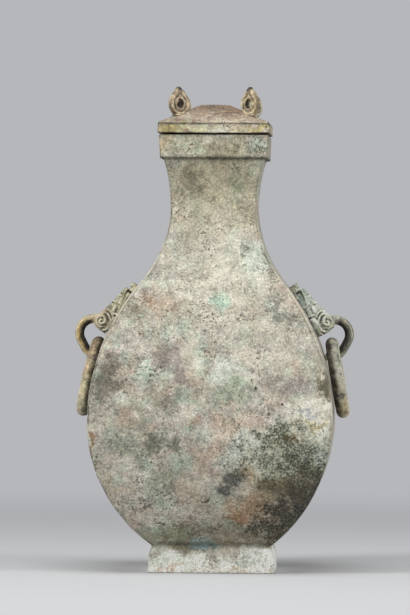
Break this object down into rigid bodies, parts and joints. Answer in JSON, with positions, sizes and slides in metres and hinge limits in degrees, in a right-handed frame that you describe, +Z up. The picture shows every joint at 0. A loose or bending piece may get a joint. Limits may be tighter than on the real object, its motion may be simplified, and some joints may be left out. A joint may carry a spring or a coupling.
{
  "type": "covered square bronze hu vessel",
  "caption": "Square-section covered wine vessel of patinated cast bronze, with beast masks that hold swinging rings and a lift-off lid with ring knobs.",
  "frame": {"origin": "on the ground, under the middle of the square foot", "axes": "+Z up the vessel's axis, +X towards the right-hand ring in the picture, -Y towards the camera"},
  "size_m": [0.2418, 0.208, 0.4176],
  "materials": {
    "bronze_vessel": "aged, grey-green patina",
    "bronze_lid": "aged, brown-green patina",
    "bronze_fittings": "aged, olive-brown patina"
  },
  "bodies": {
    "vessel": {"vessel_body": "bronze_vessel", "mask_left": "bronze_fittings", "mask_right": "bronze_fittings"},
    "lid": {"lid": "bronze_lid", "knob_front_left": "bronze_fittings", "knob_front_right": "bronze_fittings", "knob_back_left": "bronze_fittings", "knob_back_right": "bronze_fittings"},
    "ring_left": {"ring_left": "bronze_fittings"},
    "ring_right": {"ring_right": "bronze_fittings"}
  },
  "joints": [
    {"name": "lid_lift", "type": "slide", "parent": "vessel", "child": "lid", "axis": [0, 0, 1], "range_m": [0, 0.12]},
    {"name": "ring_left_swing", "type": "hinge", "parent": "vessel", "child": "ring_left", "pos_m": [-0.10035, 0, 0.19628], "axis": [0, 1, 0], "range_deg": [0, 160]},
    {"name": "ring_right_swing", "type": "hinge", "parent": "vessel", "child": "ring_right", "pos_m": [0.10198, 0, 0.19654], "axis": [0, -1, 0], "range_deg": [0, 160]}
  ]
}
